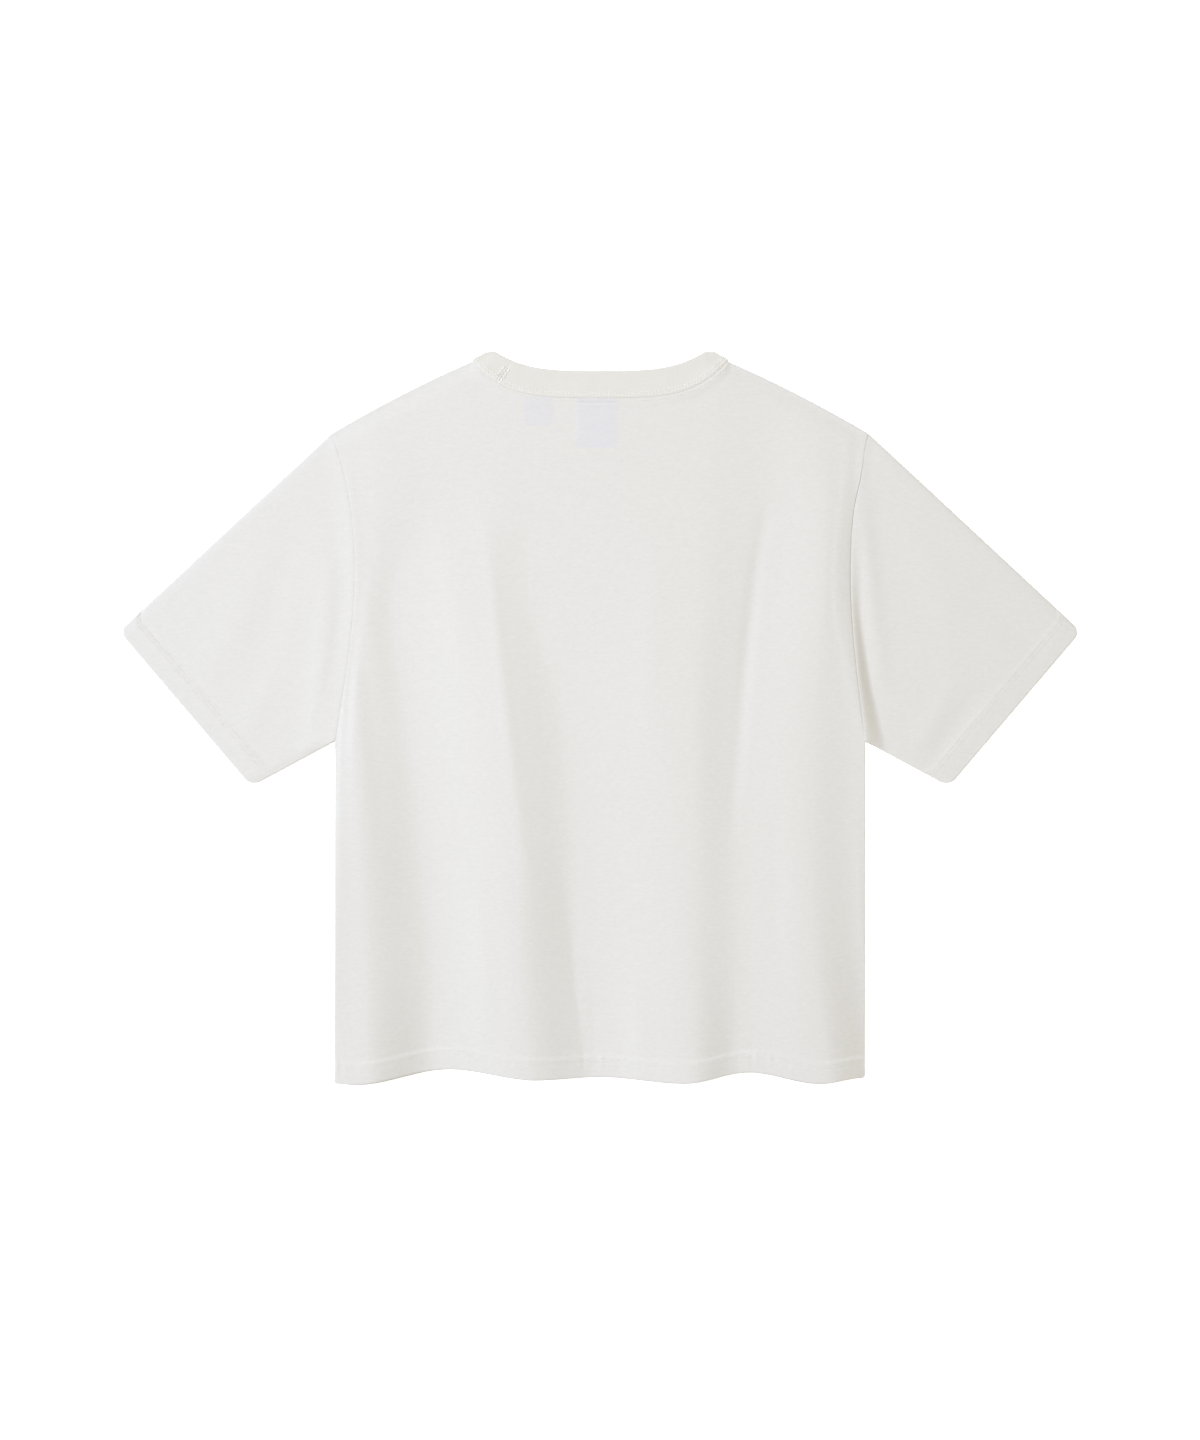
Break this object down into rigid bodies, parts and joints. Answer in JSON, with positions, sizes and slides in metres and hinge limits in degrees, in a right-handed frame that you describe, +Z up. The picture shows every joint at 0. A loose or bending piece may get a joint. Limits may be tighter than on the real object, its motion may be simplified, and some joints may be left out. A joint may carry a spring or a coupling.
{
  "type": "t-shirt",
  "caption": "Boxy short-sleeved crew-neck T-shirt in off-white cotton jersey, laid flat with its back up, with soft folds running down to the hem.",
  "frame": {"origin": "on the surface that the shirt lies on, under the middle of its box", "axes": "+Z up, +Y towards the neck, +X towards the right sleeve as seen from above"},
  "size_m": [0.8588, 0.6598, 0.0154],
  "materials": {
    "jersey": "matt off-white cotton single jersey with a slight slub",
    "rib": "matt off-white cotton rib knit",
    "label_satin": "plain white woven satin tape"
  },
  "bodies": {
    "root": {"back_panel": "jersey", "front_panel": "jersey", "sleeve_left": "jersey", "sleeve_right": "jersey", "neck_rib": "rib", "label": "label_satin", "size_tab": "label_satin"}
  },
  "joints": []
}
